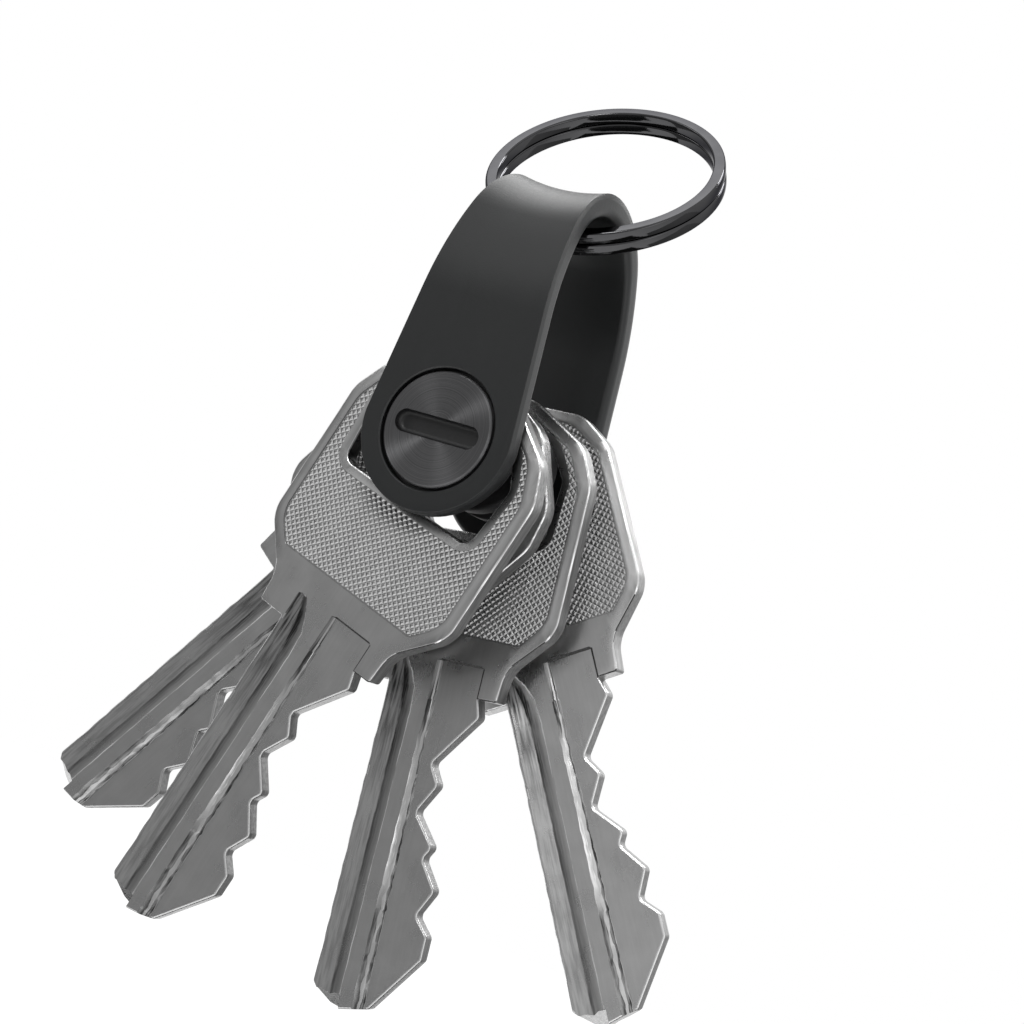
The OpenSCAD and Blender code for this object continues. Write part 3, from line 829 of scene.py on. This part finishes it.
# marks on the keys, below 0 dirt and painted shade and above 0 a painted highlight; a ledge's goes up to a share
# of the depth
keyDirtAndLight = {"wall": -0.5, "rim": 0.6, "knurl": -0.45, "backGroove": -0.6, "grooveLip": 1.0,
           "groove": (-0.55, -1.0), "grooveFades": (-32.0, -22.0), "leftShare": 0.85,
           "rightShare": 1.15, "pocket": -2.0, "ledgeTop": 0.4, "ledgeEnds": -0.8,
           "highlightAt": -35.0, "highlightReach": 9.0,
           "ledges": [(0.6, -0.1), (0.88, -0.9), (math.inf, -0.3)]}
# where the marks lie, by the middles and the lean of faces
dirtAndLightPlaces = {"tipRight": -1.0, "bowLow": -17.1, "rimLean": 0.93, "rimDeep": 0.14, "knurlDeep": 0.3,
              "backGroove": (-2.0, 0.8), "grooveRight": -0.9, "grooveDeep": 0.012, "lipDeep": 0.08,
              "shadeDeep": 0.5, "pocketLow": -22.9, "pocketDeep": 0.5, "ledges": (0.2, 1.7),
              "lean": 0.1}


# painted highlight on the rim's rounding; the knurl darkens with depth, as dirt and painted shade in its valleys
def bowDirtAndLight(face, deep):
    edgeDeep = min(face.center.y, keySize["thick"] - face.center.y)
    if abs(face.normal.y) < dirtAndLightPlaces["rimLean"] and edgeDeep > dirtAndLightPlaces["rimDeep"]:
        return keyDirtAndLight["rim"]
    return keyDirtAndLight["knurl"] * clamp(deep / fieldSize["deep"]) if deep < dirtAndLightPlaces["knurlDeep"] else 0


def grooveShadeAndHighlight(face, at):   # painted shade in the groove, lighter up its right side to a painted highlight on its lip
    if face.center.y < dirtAndLightPlaces["lipDeep"] and face.normal.x < 0:
        return keyDirtAndLight["grooveLip"]
    low, high = keyDirtAndLight["grooveFades"]
    tipwardDark, bowwardDark = keyDirtAndLight["groove"]
    soilAndShade = tipwardDark + (bowwardDark - tipwardDark) * clamp((at.z - low) / (high - low))
    if face.normal.x > dirtAndLightPlaces["lean"]:
        return soilAndShade * keyDirtAndLight["leftShare"]
    return soilAndShade * keyDirtAndLight["rightShare"] * min(at.y / dirtAndLightPlaces["shadeDeep"], 1)


def ledgeShadeAndHighlight(face, at, paintedLight):   # the slanted wall, its top given a painted highlight in the middle, and painted shade on its steeper ledges
    level = face.center.y / millDepth(face.center.z, millSize)
    if level < keyDirtAndLight["ledgeTop"]:
        highlit = 1 - min(((at.z - keyDirtAndLight["highlightAt"]) / keyDirtAndLight["highlightReach"]) ** 2, 1)
        return paintedLight * highlit + keyDirtAndLight["ledgeEnds"] * (1 - highlit)
    return next(amount for top, amount in keyDirtAndLight["ledges"] if level < top)


def dirtAndLightOf(face, at, tipShade, paintedLight):   # dirt, painted shade and painted highlight at a corner of a face of the pattern
    middle, way, places = face.center, face.normal, dirtAndLightPlaces
    deep = min(at.y, keySize["thick"] - at.y)
    tipTop = bladeSize["tipCut"][1][1]
    # painted shade on the lower facets of the tip, for some keys
    if middle.x < places["tipRight"] and middle.z < tipTop and way.z < -steep and way.y < -steep:
        return tipShade
    if isWall(face):   # blanked walls and the sawn edge of the bitting, painted darker as shade
        return keyDirtAndLight["wall"]
    if middle.z > places["bowLow"]:
        return bowDirtAndLight(face, deep)
    if middle.y > keySize["thick"] / 2:
        # the back groove darkens with depth, as dirt and painted shade
        left, right = places["backGroove"]
        soilAndShade = keyDirtAndLight["backGroove"] * min(deep / places["shadeDeep"], 1)
        return soilAndShade if left < middle.x < right else 0
    if middle.x < places["grooveRight"] and middle.y > places["grooveDeep"]:
        return grooveShadeAndHighlight(face, at)
    inPocket = middle.z > places["pocketLow"] and middle.y < places["pocketDeep"]
    if inPocket and (way.z < -steep or way.x < -steep):   # its end and its right side, painted dark as shade
        return keyDirtAndLight["pocket"]
    left, right = places["ledges"]
    if left < middle.x < right and way.x > places["lean"]:
        return ledgeShadeAndHighlight(face, at, paintedLight)
    return 0


def placeKeys(pattern):
    mesh = pattern.data
    mesh.attributes.new("own", "FLOAT_VECTOR", "POINT")
    mesh.attributes.new("dirtAndLight", "FLOAT", "CORNER")
    own = mesh.attributes["own"].data
    dirtAndLight = mesh.attributes["dirtAndLight"].data
    for index, vert in enumerate(mesh.vertices):
        own[index].vector = vert.co * mm
    for name, (turn, slip, shade, tipShade, paintedLight) in keyPlaces.items():
        for face in mesh.polygons:
            for corner in face.loop_indices:
                at = mesh.vertices[mesh.loops[corner].vertex_index].co
                dirtAndLight[corner].value = dirtAndLightOf(face, at, tipShade, paintedLight)
        front = Matrix.Translation((0, nodeBox(name)[0].y, 0))
        place = toRow @ front @ Matrix.Rotation(math.radians(-turn), 4, "Y")
        key = bpy.data.objects.new("flatKey" + name[-1], mesh.copy())
        # each key's colour is scaled by its own level, painted light that makes some keys lighter or darker
        paintedKeyLight = key.data.attributes.new("paintedKeyLight", "FLOAT", "POINT")
        paintedKeyLight.data.foreach_set("value", [shade] * len(key.data.vertices))
        bpy.context.scene.collection.objects.link(key)
        settle(key, keyNickel, name, name, place @ Matrix.Translation((slip, 0, 0)), 30)
        evenNormals(key)
    bpy.data.objects.remove(pattern)


placeKeys(makeKeyPattern(keySize, bladeSize, fieldSize, millSize))


# split ring: a rounded flat wire, two turns that lie on each other, and a climb between them
ringSize = {"wide": 1.3, "tall": 1.21, "round": 0.2, "bulge": 0.1, "bulgeRound": 2.0, "layer": 1.27,
            "start": -80, "climb": 20, "steps": 144}


def makeRing(size):
    w, h = size["wide"] / 2, size["tall"] / 2
    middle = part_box("split_ring")[1].x / mm - w
    flat, rounding = w - size["bulge"], size["round"]
    bm = bmesh.new()
    roundedFace(bm, [(middle - flat, -h, rounding), (middle + flat, -h, rounding),
                     (middle + w, 0, size["bulgeRound"]), (middle + flat, h, rounding),
                     (middle - flat, h, rounding), (middle - w, 0, size["bulgeRound"])],
                lambda r, z: Vector((r, 0, z - size["layer"] / 2)))
    bmesh.ops.delete(bm, geom=bm.faces[:], context="FACES_ONLY")
    rotate(bm, size["start"], "Z")
    geom = bm.verts[:] + bm.edges[:]
    level = 360 - size["climb"]
    for degrees, climbs in ((level, False), (size["climb"], True), (level, False)):
        steps = max(round(size["steps"] * degrees / 360), 2)
        climb = (0, 0, size["layer"] / steps) if climbs else (0, 0, 0)
        geom = sweep(bm, geom, (0, 0, 1), math.radians(degrees), steps, climb=climb)
    bmesh.ops.holes_fill(bm, edges=openEdges(bm), sides=0)
    closeUp(bm)
    return makeObject("splitRing", bm)


splitRing = makeRing(ringSize)
ringTurn = Vector((0, 0, 1)).rotation_difference(ringAxis).to_matrix().to_4x4()
settle(splitRing, blackNickel, "ring", "split_ring", ringTurn @ Matrix.Scale(mm, 4))


# camera where the photograph was taken from
cameraSetup = {"at": (0.088773, -0.170675, -0.048895), "turn": (94.7314, -19.1416, 25.3121),
               "lens": 70.3177, "sensor": 36.0, "near": 0.005}
lensData = bpy.data.cameras.new("viewCamera")
lensData.lens = cameraSetup["lens"]
lensData.sensor_width = cameraSetup["sensor"]
lensData.clip_start = cameraSetup["near"]
viewCamera = bpy.data.objects.new("viewCamera", lensData)
viewCamera.location = cameraSetup["at"]
viewCamera.rotation_euler = [math.radians(a) for a in cameraSetup["turn"]]
bpy.context.scene.collection.objects.link(viewCamera)
bpy.context.scene.camera = viewCamera


# studio: a white floor and world, grey flags that only reflections see, soft lamps round the object
objectMiddle = Vector((0.0, 0.0, -0.035))
ambient = 0.35
floorSetup = {"size": 2.5, "height": -0.42, "grey": (0.9, 0.9, 0.9, 1), "glow": 0.8}
bentFlags = {
    "frontFlag": {"radius": 0.45, "turn": (-95, -12), "low": -0.41, "high": 0.17, "grey": (0.31, 0.37)},
    "paleFlag": {"radius": 0.45, "turn": (-12, 50), "low": -0.41, "high": 0.17, "grey": (0.5, 0.7)},
    "backFlag": {"radius": 0.5, "turn": (110, 176), "low": -0.41, "high": 0.0, "grey": (0.32, 0.6)}}
lowFlag = {"at": (-0.05, 0.23, -0.405), "size": (0.8, 0.4), "grey": (0.05, 0.05)}
# each lamp's place, its size and its power in watts
lamps = {"overheadLamp": ((-0.15, 0.15, 0.48), (0.45, 0.45), 2.0),
         "backRightLamp": ((0.21, 0.4, 0.32), (0.14, 0.14), 0.9),
         "topRightLamp": ((0.16, 0.18, 0.48), (0.14, 0.14), 1.5),
         "rightLamp": ((0.53, -0.27, -0.02), (0.2, 0.35), 0.22),
         "frontLamp": ((0.03, -0.49, 0.32), (0.12, 0.12), 0.7),
         "sideLamp": ((-0.45, -0.32, 0.2), (0.2, 0.2), 0.4)}


def seenRays(tree):   # 1 for rays that look at the background: camera, glossy and transmission
    rays = addNode(tree, "ShaderNodeLightPath", {})
    direct = addMath(tree, "MAXIMUM", (rays, "Is Camera Ray"), (rays, "Is Glossy Ray"))
    return addMath(tree, "MAXIMUM", direct, (rays, "Is Transmission Ray"))


def bareTree(holder):   # an empty node tree for a world or a studio material
    holder.use_nodes = True
    holder.node_tree.nodes.clear()
    return holder.node_tree


def makeWorld():
    world = bpy.data.worlds.new("whiteStudio")
    tree = bareTree(world)
    white = addNode(tree, "ShaderNodeBackground", {"Color": (1, 1, 1, 1), "Strength": 1.0})
    soft = addNode(tree, "ShaderNodeBackground", {"Color": (1, 1, 1, 1), "Strength": ambient})
    mix = addNode(tree, "ShaderNodeMixShader", {0: seenRays(tree), 1: (soft, "Background"),
                                                2: (white, "Background")})
    addNode(tree, "ShaderNodeOutputWorld", {"Surface": (mix, "Shader")})
    bpy.context.scene.world = world


def makeFloor(setup):
    bm = bmesh.new()
    bmesh.ops.create_grid(bm, x_segments=1, y_segments=1, size=setup["size"],
                          matrix=Matrix.Translation((0, 0, setup["height"])))
    floor = makeObject("studioFloor", bm)
    material = bpy.data.materials.new("paleFloor")
    tree = bareTree(material)
    matt = addNode(tree, "ShaderNodeBsdfDiffuse", {"Color": setup["grey"]})
    glow = addNode(tree, "ShaderNodeEmission", {"Color": (1, 1, 1, 1), "Strength": setup["glow"]})
    dark = addNode(tree, "ShaderNodeEmission", {"Color": (0, 0, 0, 1), "Strength": 0.0})
    pick = addNode(tree, "ShaderNodeMixShader", {0: seenRays(tree), 1: (dark, "Emission"),
                                                 2: (glow, "Emission")})
    both = addNode(tree, "ShaderNodeAddShader", {0: (matt, "BSDF"), 1: (pick, "Shader")})
    addNode(tree, "ShaderNodeOutputMaterial", {"Surface": (both, "Shader")})
    floor.data.materials.append(material)


def addLamp(name, at, size, power):
    lamp = bpy.data.lights.new(name, "AREA")
    lamp.shape = "RECTANGLE"
    lamp.size, lamp.size_y = size
    lamp.energy = power
    holder = bpy.data.objects.new(name, lamp)
    holder.location = at
    aim = objectMiddle - Vector(at)
    holder.rotation_euler = aim.to_track_quat("-Z", "Y").to_euler()
    bpy.context.scene.collection.objects.link(holder)


def hangFlag(name, bm, low, high, grey):   # its greys run from the height low to the height high
    card = makeObject(name, bm)
    material = bpy.data.materials.new(name)
    tree = bareTree(material)
    place = addNode(tree, "ShaderNodeTexCoord", {})
    split = addNode(tree, "ShaderNodeSeparateXYZ", {"Vector": (place, "Object")})
    fade = spread(tree, (split, "Z"), grey, (low, high))
    glow = addNode(tree, "ShaderNodeEmission", {"Color": (1, 1, 1, 1), "Strength": fade})
    addNode(tree, "ShaderNodeOutputMaterial", {"Surface": (glow, "Emission")})
    card.data.materials.append(material)
    card.visible_camera = False
    card.visible_diffuse = False
    card.visible_shadow = False


def addBentFlag(name, flag):   # stands round the object
    bm = bmesh.new()
    foot = bm.verts.new((0, -flag["radius"], flag["low"]))
    bm.edges.new((foot, bm.verts.new((0, -flag["radius"], flag["high"]))))
    start, end = flag["turn"]
    rotate(bm, start, "Z")
    sweep(bm, bm.verts[:] + bm.edges[:], (0, 0, 1), math.radians(end - start), 24)
    hangFlag(name, bm, flag["low"], flag["high"], flag["grey"])


def addFlatFlag(name, flag):   # lies above the floor
    bm = bmesh.new()
    across, along = flag["size"]
    place = Matrix.Translation(flag["at"]) @ Matrix.Diagonal((across, along, 1, 1))
    bmesh.ops.create_grid(bm, x_segments=1, y_segments=1, size=0.5, matrix=place)
    hangFlag(name, bm, -1, 1, flag["grey"])


for name, flag in bentFlags.items():
    addBentFlag(name, flag)
addFlatFlag("lowFlag", lowFlag)
makeWorld()
makeFloor(floorSetup)
for name, (at, size, power) in lamps.items():
    addLamp(name, at, size, power)
print("studio set:", len(lamps), "lamps")

bpy.context.scene.view_settings.view_transform = "Standard"
print("scene ready")
